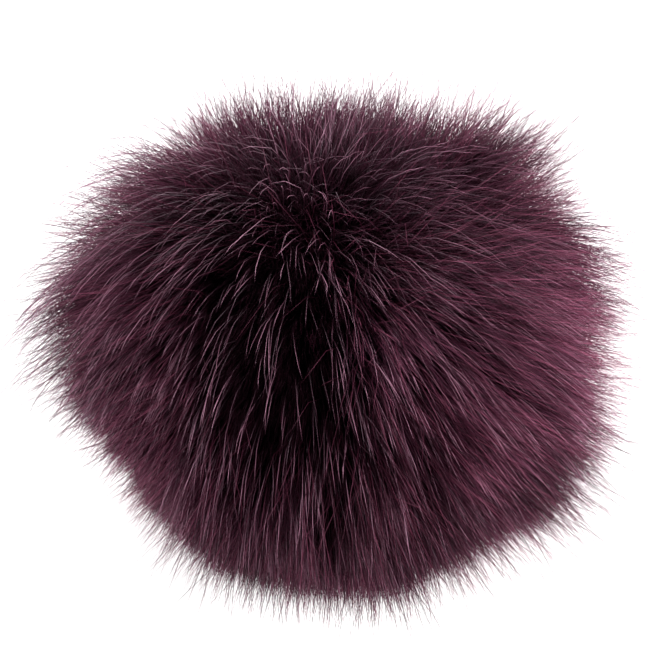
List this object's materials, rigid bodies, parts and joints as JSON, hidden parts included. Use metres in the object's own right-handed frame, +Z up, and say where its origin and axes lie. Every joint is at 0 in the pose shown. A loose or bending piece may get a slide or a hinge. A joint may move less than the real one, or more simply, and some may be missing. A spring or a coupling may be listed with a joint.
{
  "type": "pom pom",
  "caption": "Round long-pile plum pom pom, a slightly flattened fluffy ball that stands on a small flat spot.",
  "frame": {"origin": "on the floor at the middle of the flat spot, under the middle of the ball's outline", "axes": "+Z up from the flat spot; the crown that the pile combs away from leans a little towards +Y, and the fuller tuft stands towards +X +Y"},
  "size_m": [0.1306, 0.1266, 0.0926],
  "materials": {
    "long_pile": "soft long pile in deep plum, dark at the roots and mauve at the tips"
  },
  "bodies": {
    "root": {"fur_ball": "long_pile"}
  },
  "joints": []
}
